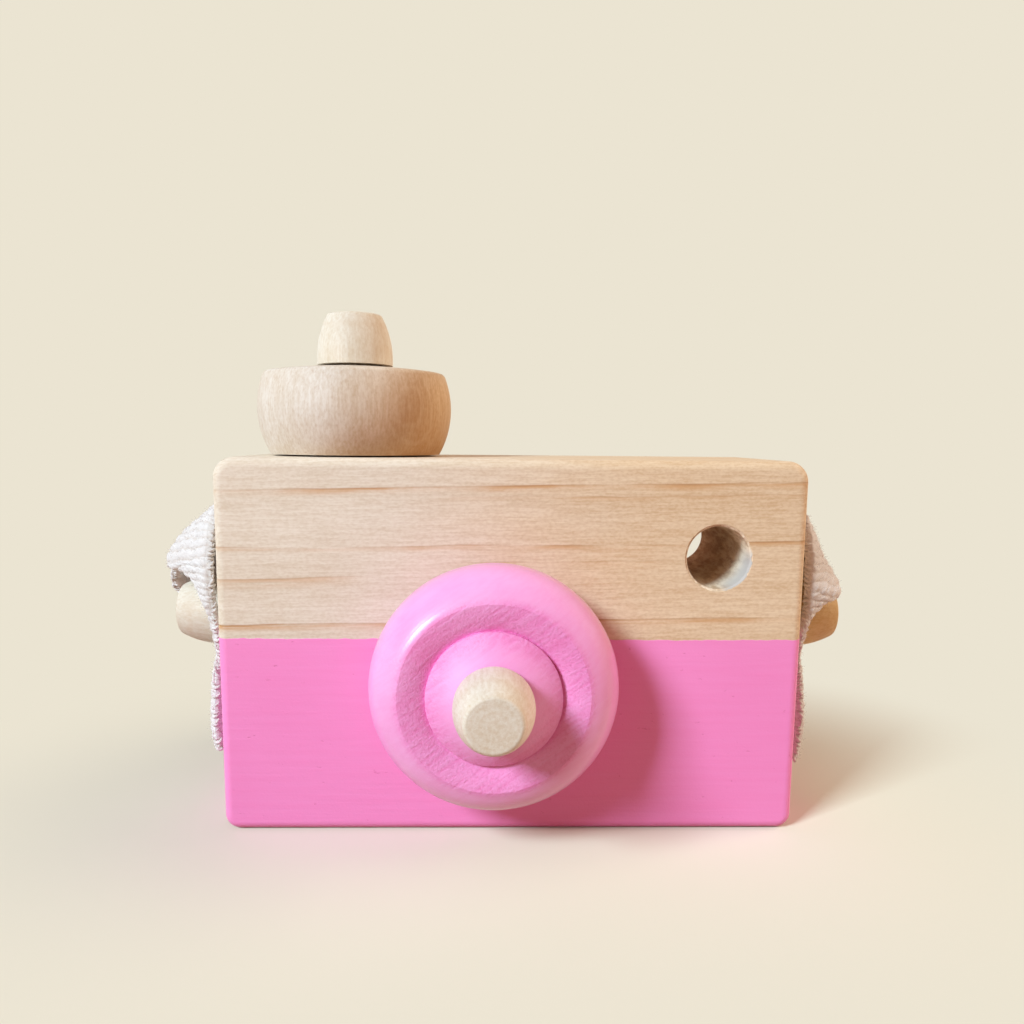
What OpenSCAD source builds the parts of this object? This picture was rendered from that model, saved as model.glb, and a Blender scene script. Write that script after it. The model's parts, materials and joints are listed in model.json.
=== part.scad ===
// Wooden toy camera: a solid block with a turned wheel for a lens, a turned disc for a dial,
// four turned pegs and a crocheted neck strap that hooks over the two side pegs.
// The front faces -Y, up is +Z, and the origin is the middle of the block's underside.

/* [Block] */
// Width of the wooden block
block_w = 100; // [80:1:140]
// Depth of the block, front to back
block_d = 34; // [32:1:60]
// Height of the block
block_h = 65; // [60:1:90]
// Radius of the two top corners, seen from the front
top_corner_r = 3.6; // [2:0.1:6]
// Radius of the two bottom corners, seen from the front
bottom_corner_r = 2.6; // [2:0.1:6]
// Sanded rounding along the front and back edges
edge_r = 1.6; // [0.6:0.1:1.9]

/* [Viewfinder] */
// Viewfinder axis, in from the block's right side
finder_in = 15; // [10:0.5:25]
// Viewfinder axis, down from the block's top
finder_down = 16.4; // [10:0.2:20]
// Radius of the viewfinder hole
finder_r = 5.4; // [3:0.1:6]
// Broken edge round both mouths of the hole
finder_ease = 0.4; // [0.1:0.1:1]

/* [Pegs] */
// Radius of a strap peg's head at the belly
head_r = 6.6; // [5.5:0.1:8]
// Radius of the lens peg's head at the belly
lens_head_r = 6.3; // [5.5:0.1:8]
// Radius of the dial peg's head at the belly
dial_head_r = 6.8; // [5.5:0.1:8]
// How much narrower a head's flat end is than its belly
head_taper = 2; // [1:0.1:3]
// Length of the head
head_h = 9; // [7:0.1:12]
// Rounding round the head's flat end
head_ease = 0.7; // [0.2:0.1:1.2]
// Radius of a peg's shank
shank_r = 3.5; // [2.5:0.1:4.5]
// Bevel at the tip of the shank
tip_bevel = 0.8; // [0.2:0.1:1.5]
// Depth of a peg's glued seat in the block
seat_h = 15; // [8:0.5:20]

/* [Lens wheel] */
// Lens axis, right of the middle
lens_x = -3; // [-15:0.5:15]
// Height of the lens axis
lens_z = 28; // [24:0.5:40]
// Radius of the lens wheel
wheel_r = 20.4; // [18:0.2:23]
// Thickness of the wheel at its hub
wheel_t = 15.9; // [15.5:0.1:20]
// Width of the straight tread on the rim
tread_w = 1.4; // [0.5:0.1:3]
// Rounding of the rim's rear edge
rim_back_r = 4.2; // [2:0.1:5]
// Rounding of the rim's front shoulder
rim_r = 7; // [5.5:0.1:8]
// How far the rim stands back from the block behind the hub
rim_relief = 1; // [0.5:0.1:2]
// Radius of the rear hub boss
boss_r = 9; // [6:0.2:12]
// Radius of the crest, where the front shoulder meets the dish round the hub
crest_r = 15.2; // [14.6:0.1:16]
// Rounding of the dish as it falls towards the hub
dish_r = 11; // [8:0.5:20]
// Inward lean of the dish at the crest, in degrees
dish_lean = 3; // [0:0.5:8]
// Radius of the hub's front edge
hub_r = 10.8; // [9:0.1:11]
// Height of the hub's dome above its edge, before its tip is cut flat
dome_h = 3.6; // [3:0.1:5]
// How much of the dome's tip is cut flat
dome_cut = 0.8; // [0.5:0.1:1.2]

/* [Dial] */
// Dial axis, in from the block's left side
dial_in = 21.4; // [18:0.2:30]
// How far the dial's belly stands out past the block's front and back
dial_proud = 0.4; // [-2:0.1:2]
// How much narrower the dial's top face is than its belly
dial_bow = 1.3; // [0.8:0.1:4]
// Height of the dial disc at its edge
dial_h = 14.6; // [10:0.2:22]
// Slope of the dial's crowned top face at its edge, in degrees
dial_lean = 8; // [2:0.5:12]
// Rounding round the dial's top face
dial_ease = 1; // [0.3:0.1:2]

/* [Strap] */
// Height of the two strap pegs
strap_peg_z = 36; // [34:0.5:40]
// Room for the strap between the block and a strap peg's head
strap_room = 2.5; // [2.5:0.1:6]
// Width of the crocheted band
strap_w = 14; // [10:0.5:14]
// Thickness of the band
strap_t = 2; // [1.2:0.1:2]

/* [Fits] */
// Radial clearance of a wheel or dial on its peg
run_clear = 0.08; // [0.03:0.01:0.1]
// End clearance on each side of a wheel or dial
end_clear = 0.3; // [0.2:0.05:0.6]
// Radial room for glue round a peg's seat
glue_clear = 0.05; // [0.02:0.01:0.1]

/* [Hidden] */
$fn = 96;
pale_wood = "BurlyWood";
turned_wood = "Wheat";
wheel_paint = "Plum";
cotton = "White";

// Cuts run past a face by this much, so that no skin is left
overrun = 1;

// Pegs
head_belly_share = 0.12;
head_belly_h = head_belly_share * head_h;
bore_r = shank_r + run_clear;
seat_r = shank_r + glue_clear;
seat_floor = 0.5;

// Wheel profile, measured from the hub boss that faces the block
wheel_gap = end_clear;
rim_back = rim_relief;
tread_back = rim_back + rim_back_r;
tread_front = tread_back + tread_w;
shoulder_x = wheel_r - rim_r;
shoulder_turn = acos((crest_r - shoulder_x) / rim_r);
crest_z = tread_front + rim_r * sin(shoulder_turn);
// The dish's arc starts at the crest and ends at the foot of the hub
dish_x = crest_r + dish_r * sin(dish_lean);
dish_z = crest_z - dish_r * cos(dish_lean);
dish_end = acos((hub_r - dish_x) / dish_r);
hub_edge = wheel_t - dome_h + dome_cut;
dome_arc_r = (hub_r * hub_r + dome_h * dome_h) / (2 * dome_h);
dome_arc_z = hub_edge + dome_h - dome_arc_r;
lens_reach = wheel_gap + wheel_t + end_clear;

// Viewfinder
finder_x = block_w / 2 - finder_in;
finder_z = block_h - finder_down;

// Dial
dial_x = dial_in - block_w / 2;
dial_r = block_d / 2 + dial_proud;
dial_end_r = dial_r - dial_bow;
dial_belly_share = 0.56;

// Steps along an arc, and along a strap between two of its rows
arc_steps = 16;
row_steps = 2;

// Strap ends: rows across the band from its tail, through the slit that the peg's head pokes out of,
// over the head and round the block's rear corner. A row holds the front edge, the slit's two lips
// and the rear edge, as out from the block's side, back from its middle and up from the peg's axis.
lip = 0.5;
function level_row(out, up, half, sag) =
    [[out, -half, up], [out, -lip, up - sag], [out, lip, up - sag], [out, half, up]];
// The two tails hang to different depths below the pegs
left_drop = 24.4;
right_drop = 26.6;
function tail_rows(drop) =
    [level_row(3.4, -drop, 7.8, 0.8), level_row(3.8, -20, 8.5, 0), level_row(3.2, -11, 8.5, 0)];
left_hood_rows = [
    [[1.8, -10.4, -6], [1.3, -3.8, -6], [1.3, 3.8, -6], [1.8, 10.4, -6]],
    [[1.9, -12, -1.4], [1.3, -6.2, -1.8], [1.3, 6.2, -3], [1.8, 12, -1.4]],
    [[1.9, -12.6, 2.6], [3.8, -8.8, 3.0], [6.6, 8.4, -2.4], [1.8, 12.6, 2.4]],
    [[2.0, -12.5, 5.8], [6.2, -7.6, 7.2], [13.0, 8.0, -0.6], [2.0, 12.6, 5.4]],
    [[2.1, -12.2, 8.8], [9.8, -4.6, 8.8], [15.0, 5.2, 3.4], [2.4, 12.4, 8.0]],
    [[2.2, -11.8, 10.9], [13.0, -1.0, 8.4], [13.4, 0.6, 8.0], [3.0, 11.8, 10.2]],
    [[2.2, -11.2, 12.8], [12.6, -0.6, 10.0], [12.8, 0.6, 9.8], [3.4, 10.8, 11.4]],
    [[2.2, -10.4, 14.8], [11.2, -0.5, 11.8], [11.3, 0.5, 11.6], [3.6, 10.2, 12.2]],
    [[2.2, -9.0, 17.0], [8.8, 0, 14.0], [8.8, 1, 13.8], [3.6, 9.8, 12.6]],
    [[2.2, -5.4, 19.8], [5.6, 2.4, 16.2], [5.6, 3.2, 15.8], [3.4, 9.9, 12.0]],
    [[2.2, 1.4, 21.8], [3.6, 5.8, 17.0], [3.6, 6.4, 16.2], [3.0, 10.9, 10.7]],
    [[2.2, 9.4, 22], [2.6, 11.2, 16.2], [2.6, 11.6, 15.4], [2.6, 13.4, 9.2]],
    [[2.0, 15.4, 20], [2.1, 15.8, 14.0], [2.1, 15.9, 13.2], [2.1, 16.4, 7]]];
right_hood_rows = [
    [[1.8, -10.4, -6], [1.3, -3.8, -6], [1.3, 3.8, -6], [1.8, 10.4, -6]],
    [[1.9, -12, -2.4], [1.3, -6.2, -2.8], [1.3, 6.2, -2.4], [1.8, 12, -2]],
    [[1.9, -12.6, 1.2], [3.6, -8.8, 1.4], [4.6, 8.2, 1], [1.8, 12.6, 2]],
    [[2.0, -12.6, 4.4], [6.8, -8.6, 4.1], [8.0, 7.8, 4], [2.0, 12.6, 5]],
    [[2.0, -12.5, 7.2], [10.0, -6.6, 4.7], [11.0, 5.4, 6.2], [2.2, 12.4, 7.6]],
    [[2.1, -12.3, 9.6], [10.2, -2.6, 7.2], [10.3, -1.2, 7.4], [2.4, 12.0, 9.6]],
    [[2.2, -11.9, 11.8], [8.4, -1.8, 9.8], [8.5, -0.6, 10.0], [2.8, 11.4, 11.2]],
    [[2.2, -11.2, 14.0], [7.0, -1.0, 12.4], [7.0, 0.2, 12.4], [3.0, 10.8, 12.2]],
    [[2.2, -10, 16.4], [6.0, 0, 14.8], [6.0, 1, 14.6], [3.2, 10.2, 12.6]],
    [[2.2, -7.2, 19.2], [4.8, 2.4, 16.6], [4.8, 3.2, 16.2], [3.2, 9.9, 12.2]],
    [[2.2, 1.0, 21.6], [3.5, 5.8, 16.6], [3.5, 6.4, 15.8], [3.0, 10.2, 10.4]],
    [[2.3, 10.4, 20.4], [2.7, 10.6, 14.2], [2.7, 10.6, 13.4], [2.7, 10.8, 7.2]],
    [[2.2, 16.6, 16.4], [2.4, 14.0, 10.6], [2.4, 13.7, 9.9], [2.5, 11.2, 4]],
    [[-1.4, 20.2, 11.2], [1.6, 18.4, 4.9], [1.9, 18.0, 4.2], [2.5, 14.8, -1.2]]];
// The slit opens at the tail's last row and ends at this row of the hood
slit_first = len(tail_rows(left_drop)) - 1;
slit_last = slit_first + 6;
// Fullness of each half of the band over the head
hood_bulge = [0, 0, 0, 0, 0, 0.2, 0.4, 0.5, 0.6, 0.7, 0.7, 0.6, 0.4];

// Behind the block the band runs down to the hank: middle of the band and the slope of its run,
// as right from the block's middle, back from its rear face, up from the ground, and degrees down
left_lead = [[-50.4, 3.0, 47.6, 8], [-45, 4.0, 45.8, 22], [-37.5, 3.4, 41.6, 32], [-28, 2.4, 35, 36],
    [-18, 1.9, 27.6, 36], [-8.5, 1.8, 20.8, 34], [-0.5, 1.8, 14.6, 30],
    [6.5, 1.8, 10.4, 20], [13, 1.8, 8.6, 0]];
right_lead = [[46.4, 3.8, 33.6, 50], [41.2, 4.6, 28.4, 42], [34.8, 4.8, 24.8, 20],
    [28, 4.8, 23.5, 4], [22, 4.8, 23.4, 0]];

// Hank: distance of each run from the hank's long middle line, at its ends and at its drawn-in waist
hank_runs = [13.2, 9.6, 5.4, 7.8, 10.2];
hank_waist = [13.2, 4.6, 3.6, 4.6, 7.4];
hank_half = 20;
hank_back = 15;
low_layer = 8.6;
high_layer = 23.4;
hank_in_x = 13;
hank_out_x = 22;
run_steps = 6;
turn_steps = 8;
hank_y = block_d / 2 + hank_back;

// Tie round the hank's waist
tie_room = 0.5;
tie_t = 0.9;
tie_w = 6;
tie_r = 1;

// Points on an arc
function arc(cx, cy, r, from, to) = [for (k = [0:arc_steps]) let (a = from + (to - from) * k / arc_steps)
    [cx + r * cos(a), cy + r * sin(a)]];

// Half outline of a turned barrel without its end face: flat foot, bowed side, rounded edge that
// leans on into the end face
function barrel(r, belly, end_r, h, ease, lean) = let (
    rise = h - belly,
    bow_r = (rise * rise + pow(r - end_r, 2)) / (2 * (r - end_r)),
    cx = r - bow_r,
    ease_z = h - ease,
    ease_x = cx + sqrt(pow(bow_r - ease, 2) - pow(ease_z - belly, 2)),
    tangent = atan2(ease_z - belly, ease_x - cx))
    concat([[0, 0]], arc(cx, belly, bow_r, asin(-belly / bow_r), tangent),
        arc(ease_x, ease_z, ease, tangent, 90 - lean));

function peg_outline(r) =
    concat(barrel(r, head_belly_h, r - head_taper, head_h, head_ease, 0), [[0, head_h]]);

// The dial's top is a shallow crown that goes on from its rounded edge
dial_side = barrel(dial_r, dial_belly_share * dial_h, dial_end_r, dial_h, dial_ease, dial_lean);
dial_edge = dial_side[len(dial_side) - 1];
crown_r = dial_edge[0] / sin(dial_lean);
crown_z = dial_edge[1] - crown_r * cos(dial_lean);
dial_top = crown_z + crown_r;
dial_outline = concat(dial_side, arc(0, crown_z, crown_r, 90 - dial_lean, 90));
dial_reach = end_clear + dial_top + end_clear;

wheel_outline = concat(
    [[0, 0], [boss_r, 0], [boss_r + rim_back, rim_back]],
    arc(wheel_r - rim_back_r, tread_back, rim_back_r, -90, 0),
    arc(shoulder_x, tread_front, rim_r, 0, shoulder_turn),
    arc(dish_x, dish_z, dish_r, 90 + dish_lean, dish_end),
    arc(0, dome_arc_z, dome_arc_r, acos(hub_r / dome_arc_r), asin((wheel_t - dome_arc_z) / dome_arc_r)),
    [[0, wheel_t]]);

module soft_rectangle(w, h, r) {
    square([w - 2 * r, h], center = true);
    square([w, h - 2 * r], center = true);
    for (x = [-1, 1], y = [-1, 1]) translate([x * (w / 2 - r), y * (h / 2 - r)]) circle(r);
}

// One corner of the block: a short barrel lying along Y
module block_corner(r) {
    rotate([90, 0, 0]) rotate_extrude() intersection() {
        soft_rectangle(2 * r, block_d, edge_r);
        translate([0, -block_d / 2]) square([r, block_d]);
    }
}

// The block's side view between two heights, drawn out along X
module block_bar(len, low, high) {
    translate([-len / 2, 0, 0]) rotate([90, 0, 90]) linear_extrude(len) intersection() {
        translate([0, block_h / 2]) soft_rectangle(block_d, block_h, edge_r);
        translate([-block_d / 2, low]) square([block_d, high - low]);
    }
}

module soft_block() {
    for (x = [-1, 1]) {
        translate([x * (block_w / 2 - top_corner_r), 0, block_h - top_corner_r]) block_corner(top_corner_r);
        translate([x * (block_w / 2 - bottom_corner_r), 0, bottom_corner_r]) block_corner(bottom_corner_r);
    }
    translate([0, 0, bottom_corner_r]) linear_extrude(block_h - top_corner_r - bottom_corner_r)
        soft_rectangle(block_w, block_d, edge_r);
    block_bar(block_w - 2 * top_corner_r, bottom_corner_r, block_h);
    block_bar(block_w - 2 * bottom_corner_r, 0, block_h - top_corner_r);
}

// Where each peg stands: the seat's mouth on the block, with +Z pointing out of it
module at_lens() { translate([lens_x, -block_d / 2, lens_z]) rotate([90, 0, 0]) children(); }
module at_dial() { translate([dial_x, 0, block_h]) children(); }
module at_strap(side) {
    translate([side * block_w / 2, 0, strap_peg_z]) rotate([0, side * 90, 0]) children();
}

module peg_seat() {
    translate([0, 0, -seat_h - seat_floor]) cylinder(r = seat_r, h = seat_h + seat_floor + overrun);
}

module finder_hole() {
    translate([finder_x, 0, finder_z]) rotate([90, 0, 0]) {
        cylinder(r = finder_r, h = block_d + 2 * overrun, center = true);
        for (face = [0, 1]) mirror([0, 0, face]) translate([0, 0, block_d / 2 - finder_ease])
            cylinder(r1 = finder_r, r2 = finder_r + finder_ease + overrun, h = finder_ease + overrun);
    }
}

// A turned peg: the shank below z = 0 reaches down past what it carries into its seat
module peg(reach, r) {
    rotate_extrude() polygon(peg_outline(r));
    shank = reach + seat_h;
    translate([0, 0, tip_bevel - shank]) cylinder(r = shank_r, h = shank - tip_bevel);
    translate([0, 0, -shank]) cylinder(r1 = shank_r - tip_bevel, r2 = shank_r, h = tip_bevel);
}

module bore(h) { translate([0, 0, -overrun]) cylinder(r = bore_r, h = h + 2 * overrun); }

module body_block() {
    color(pale_wood) difference() {
        soft_block();
        finder_hole();
        at_lens() peg_seat();
        at_dial() peg_seat();
        for (side = [-1, 1]) at_strap(side) peg_seat();
    }
}

module lens_wheel() {
    color(wheel_paint) at_lens() translate([0, 0, wheel_gap]) difference() {
        rotate_extrude() polygon(wheel_outline);
        bore(wheel_t);
    }
}

module lens_peg() { color(turned_wood) at_lens() translate([0, 0, lens_reach]) peg(lens_reach, lens_head_r); }

module dial_disc() {
    color(pale_wood) at_dial() translate([0, 0, end_clear]) difference() {
        rotate_extrude() polygon(dial_outline);
        bore(dial_top);
    }
}

module dial_peg() { color(turned_wood) at_dial() translate([0, 0, dial_reach]) peg(dial_reach, dial_head_r); }

module strap_peg(side) {
    color(turned_wood) at_strap(side) translate([0, 0, strap_room]) peg(strap_room, head_r);
}
module strap_peg_left() { strap_peg(-1); }
module strap_peg_right() { strap_peg(1); }

function unit(v) = v / norm(v);

// A smooth curve through rows of points, row_steps to each gap
function smooth(p0, p1, p2, p3, t) = 0.5 * (2 * p1 + (p2 - p0) * t + (2 * p0 - 5 * p1 + 4 * p2 - p3) * t * t
    + (3 * p1 - p0 - 3 * p2 + p3) * t * t * t);
function refine(rows) = let (last = len(rows) - 1) [
    for (i = [0:last - 1]) for (k = [0:row_steps - 1]) smooth(
        i > 0 ? rows[i - 1] : 2 * rows[0] - rows[1], rows[i], rows[i + 1],
        i + 1 < last ? rows[i + 2] : 2 * rows[last] - rows[last - 1], k / row_steps),
    rows[last]];

// A row of the strap end on its own side of the block
function placed(row, side) = [for (p = row) [side * (block_w / 2 + p[0]), p[1], strap_peg_z + p[2]]];
// A level row of the lead behind the block: its front edge is the upper one
function lead_row(p, side) = let (
    up = [-side * sin(p[3]), 0, cos(p[3])],
    mid = [p[0], block_d / 2 + p[1], p[2]])
    [for (s = [strap_w / 2, lip, -lip, -strap_w / 2]) mid + s * up];
function end_rows(hood, lead, side) = refine(concat(
    [for (row = concat(tail_rows(side < 0 ? left_drop : right_drop), hood)) placed(row, side)],
    [for (p = lead) lead_row(p, side)]));

// Middle line of each half, drawn out by the fullness of the hood
function bulge_at(i) = let (k = floor(i / row_steps), t = i / row_steps - k)
    k + 1 < len(hood_bulge) ? hood_bulge[k] * (1 - t) + hood_bulge[k + 1] * t : 0;
function along(grid, i, j) = grid[min(i + 1, len(grid) - 1)][j] - grid[max(i - 1, 0)][j];
function full_row(rows, i, side) = let (r = rows[i],
    front = side * unit(cross(r[1] - r[0], along(rows, i, 1))),
    rear = side * unit(cross(r[3] - r[2], along(rows, i, 2))))
    [r[0], (r[0] + r[1]) / 2 + bulge_at(i) * front, r[1],
        r[2], (r[2] + r[3]) / 2 + bulge_at(i) * rear, r[3]];

// The slit takes out the middle column between its first and last rows
function slit(i) = i >= slit_first * row_steps && i < slit_last * row_steps;
function inside_slit(i) = slit(i) && slit(i - 1);
function across(row, j, open) =
    row[min(j + 1, open && j == 2 ? 2 : 5)] - row[max(j - 1, open && j == 3 ? 3 : 0)];
function skin(grid, i, side) = [for (s = [1, -1]) for (j = [0:5])
    let (normal = side * unit(cross(across(grid[i], j, inside_slit(i)), along(grid, i, j))))
    grid[i][j] + s * strap_t / 2 * normal];

function two(a, b, c, d) = [[a, b, c], [a, c, d]];
function band_faces(n) = let (id = function(i, j, s) i * 12 + s * 6 + j) [
    for (i = [0:n - 2]) for (j = [0:4]) if (j != 2 || !slit(i)) each concat(
        two(id(i, j, 0), id(i + 1, j, 0), id(i + 1, j + 1, 0), id(i, j + 1, 0)),
        two(id(i, j, 1), id(i, j + 1, 1), id(i + 1, j + 1, 1), id(i + 1, j, 1))),
    for (i = [0:n - 2]) for (j = slit(i) ? [0, 3] : [0])
        each two(id(i, j, 1), id(i + 1, j, 1), id(i + 1, j, 0), id(i, j, 0)),
    for (i = [0:n - 2]) for (j = slit(i) ? [2, 5] : [5])
        each two(id(i, j, 0), id(i + 1, j, 0), id(i + 1, j, 1), id(i, j, 1)),
    for (j = [0:4]) each two(id(0, j, 0), id(0, j + 1, 0), id(0, j + 1, 1), id(0, j, 1)),
    for (j = [0:4]) each two(id(n - 1, j, 1), id(n - 1, j + 1, 1), id(n - 1, j + 1, 0), id(n - 1, j, 0)),
    for (i = [1:n - 1]) if (slit(i - 1) && !slit(i))
        each two(id(i, 2, 0), id(i, 3, 0), id(i, 3, 1), id(i, 2, 1)),
    for (i = [1:n - 1]) if (!slit(i - 1) && slit(i))
        each two(id(i, 2, 1), id(i, 3, 1), id(i, 3, 0), id(i, 2, 0))];
function turned(faces, side) = side > 0 ? faces : [for (f = faces) [f[0], f[2], f[1]]];

module strap_end(hood, lead, side) {
    rows = end_rows(hood, lead, side);
    grid = [for (i = [0:len(rows) - 1]) full_row(rows, i, side)];
    color(cotton) polyhedron([for (i = [0:len(grid) - 1]) each skin(grid, i, side)],
        turned(band_faces(len(grid)), side));
}
module strap_end_left() { strap_end(left_hood_rows, left_lead, -1); }
module strap_end_right() { strap_end(right_hood_rows, right_lead, 1); }

// The hank's path: turns at its two ends, runs between them, drawn in at the waist
function ease_in(t) = t * t * (3 - 2 * t);
function hank_turn(k) = let (end = k % 2 == 0 ? 1 : -1) [for (i = [0:turn_steps - 1]) let (
    a = 180 * i / turn_steps,
    r = hank_runs[k] + (hank_runs[k + 1] - hank_runs[k]) * i / turn_steps)
    [end * (hank_half + r * sin(a)), hank_y - end * r * cos(a), k < 2 ? low_layer : high_layer]];
function hank_run(k) = let (way = k % 2 == 0 ? 1 : -1) [for (i = [0:run_steps - 1]) let (
    t = 2 * i / run_steps - 1,
    off = hank_waist[k] + (hank_runs[k] - hank_waist[k]) * ease_in(abs(t)),
    climb = k < 2 ? 0 : k > 2 ? 1 : ease_in(i / run_steps))
    [way * t * hank_half, hank_y - way * off, low_layer + (high_layer - low_layer) * climb]];
hank_path = concat([[hank_in_x, hank_y - hank_runs[0], low_layer]],
    [for (k = [0:3]) each concat(hank_turn(k), hank_run(k + 1))],
    [[hank_out_x, hank_y - hank_runs[4], high_layer]]);

// Flat eight-sided section of the band standing on edge
section_shares = [[1, -0.8], [1, 0.8], [0.5, 1], [-0.5, 1], [-1, 0.8], [-1, -0.8], [-0.5, -1], [0.5, -1]];
section = [for (s = section_shares) [s[0] * strap_t / 2, s[1] * strap_w / 2]];
function flat_way(path, i) = let (d = path[min(i + 1, len(path) - 1)] - path[max(i - 1, 0)])
    unit([d[0], d[1], 0]);
function hank_ring(i) = let (d = flat_way(hank_path, i))
    [for (s = section) hank_path[i] + [d[1] * s[0], -d[0] * s[0], s[1]]];
hank_rings = [for (i = [0:len(hank_path) - 1]) hank_ring(i)];
function tube_faces(n, m) = [
    for (i = [0:n - 2]) for (j = [0:m - 1]) let (k = (j + 1) % m)
        each two(i * m + j, i * m + k, (i + 1) * m + k, (i + 1) * m + j),
    for (j = [1:m - 2]) [0, j + 1, j],
    for (j = [1:m - 2]) [(n - 1) * m, (n - 1) * m + j, (n - 1) * m + j + 1]];

module strap_hank() {
    color(cotton) polyhedron([for (ring = hank_rings) each ring],
        tube_faces(len(hank_rings), len(section)));
}

// Least gap of the hank to itself, between rings that lie more than a quarter loop apart
near = turn_steps;
hank_gap = min([for (i = [0:len(hank_rings) - 1]) for (k = [i + near:1:len(hank_rings) - 1])
    for (p = hank_rings[i]) for (q = hank_rings[k]) norm(p - q)]);
function path_length(p) = [for (i = [1:len(p) - 1]) norm(p[i] - p[i - 1])] * [for (i = [1:len(p) - 1]) 1];
function middle(hood, lead, side) = [for (r = end_rows(hood, lead, side)) (r[1] + r[2]) / 2];
strap_length = path_length(hank_path) + path_length(middle(left_hood_rows, left_lead, -1))
    + path_length(middle(right_hood_rows, right_lead, 1));
echo(hank_gap = hank_gap, strap_length = strap_length);

module strap_tie() {
    low = low_layer - strap_w / 2 - tie_room;
    high = high_layer + strap_w / 2 + tie_room;
    front = hank_y - hank_waist[4] - strap_t / 2 - tie_room;
    back = hank_y + hank_waist[1] + strap_t / 2 + tie_room;
    w = back - front;
    h = high - low;
    color(cotton) translate([-tie_w / 2, front + w / 2, low + h / 2]) rotate([90, 0, 90])
        linear_extrude(tie_w) difference() {
            soft_rectangle(w + 2 * tie_t, h + 2 * tie_t, tie_r + tie_t);
            soft_rectangle(w, h, tie_r);
        }
}

body_block();
lens_wheel();
lens_peg();
dial_disc();
dial_peg();
strap_peg_left();
strap_peg_right();
strap_end_left();
strap_end_right();
strap_hank();
strap_tie();
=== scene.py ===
# %% [markdown]
# # A wooden toy camera
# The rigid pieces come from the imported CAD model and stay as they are: the block, the wheel, the disc and four pegs.
# This lesson dresses them. It sets the photograph's view, crochets the neck strap anew, gives every surface its
# finish, and lights the set. Lengths in tables are millimetres, as in the part's source, and MM turns them to metres.

# %% Load the frame
import json
import math

import bpy
import numpy as np
from mathutils import Matrix, Vector

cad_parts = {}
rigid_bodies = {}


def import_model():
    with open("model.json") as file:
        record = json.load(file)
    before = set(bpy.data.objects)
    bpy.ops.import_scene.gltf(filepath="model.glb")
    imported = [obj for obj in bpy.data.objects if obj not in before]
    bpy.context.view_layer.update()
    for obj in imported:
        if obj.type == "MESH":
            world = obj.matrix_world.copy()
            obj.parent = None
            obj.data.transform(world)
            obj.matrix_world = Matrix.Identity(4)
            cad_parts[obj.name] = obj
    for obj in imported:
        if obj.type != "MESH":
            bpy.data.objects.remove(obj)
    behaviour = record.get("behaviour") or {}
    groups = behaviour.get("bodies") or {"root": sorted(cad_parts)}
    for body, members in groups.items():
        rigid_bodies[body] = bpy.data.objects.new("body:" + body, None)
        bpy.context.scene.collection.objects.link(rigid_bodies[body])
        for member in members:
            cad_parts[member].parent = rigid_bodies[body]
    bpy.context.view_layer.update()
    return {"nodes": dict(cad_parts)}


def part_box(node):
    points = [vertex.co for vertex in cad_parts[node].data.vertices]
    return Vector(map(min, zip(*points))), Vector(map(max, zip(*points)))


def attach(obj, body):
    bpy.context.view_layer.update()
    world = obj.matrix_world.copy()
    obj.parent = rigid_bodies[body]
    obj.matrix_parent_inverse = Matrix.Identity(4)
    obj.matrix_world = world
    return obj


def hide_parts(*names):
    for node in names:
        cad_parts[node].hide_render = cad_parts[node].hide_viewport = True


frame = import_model()
nodes = frame["nodes"]
MM = 0.001
print("nodes:", ", ".join(sorted(nodes)))

# %% [markdown]
# ## The camera
# The view was solved from the straight edges and circles in the photograph. It is a short lens close to the toy,
# tipped a little down. The picture was cropped off centre, so the lens is shifted up by a few percent.

# %% Camera
IMAGE = 1024
FOCAL_PX = 829.2
AXIS_ROW = 551.6
CAMERA_AT = Vector((-3.411, -155.194, 68.383)) * MM
pitch, yaw, roll = (math.radians(a) for a in (7.768, 1.375, 0.531))
ahead = Vector((math.sin(yaw) * math.cos(pitch), math.cos(yaw) * math.cos(pitch), -math.sin(pitch)))
level = Vector((math.cos(yaw), -math.sin(yaw), 0))
upright = level.cross(ahead)
right = level * math.cos(roll) + upright * math.sin(roll)
up = upright * math.cos(roll) - level * math.sin(roll)

lens = bpy.data.cameras.new("photo_camera")
lens.sensor_width = 36
lens.lens = FOCAL_PX / IMAGE * lens.sensor_width
lens.shift_y = (AXIS_ROW - IMAGE / 2) / IMAGE
lens.clip_start = 0.01
camera = bpy.data.objects.new("photo_camera", lens)
bpy.context.scene.collection.objects.link(camera)
turn = Matrix((right, up, -ahead)).transposed()
camera.matrix_world = Matrix.Translation(CAMERA_AT) @ turn.to_4x4()
bpy.context.scene.camera = camera
print(f"camera: {lens.lens:.2f} mm lens, shift {lens.shift_y:.4f}")

# %% [markdown]
# ## Node trees in plain Python
# A finish is easier to read as a formula than as a web of boxes. A small class wraps a socket: each operator adds a
# Math node, colours go through Mix and vectors through Vector Math. Every other node comes from one method, for
# shaders and for Geometry Nodes alike.

# %% Wires and trees
class Wire:
    """A node's output socket that can stand in an expression."""

    def __init__(self, owner, socket):
        self.owner, self.socket = owner, socket

    def maths(self, operation, *values):
        return self.owner.add("ShaderNodeMath", {"operation": operation}, dict(enumerate(values)))

    def __add__(self, other): return self.maths("ADD", self, other)
    def __radd__(self, other): return self.maths("ADD", other, self)
    def __sub__(self, other): return self.maths("SUBTRACT", self, other)
    def __rsub__(self, other): return self.maths("SUBTRACT", other, self)
    def __mul__(self, other): return self.maths("MULTIPLY", self, other)
    def __rmul__(self, other): return self.maths("MULTIPLY", other, self)
    def __pow__(self, other): return self.maths("POWER", self, other)
    def __abs__(self): return self.maths("ABSOLUTE", self)


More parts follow.
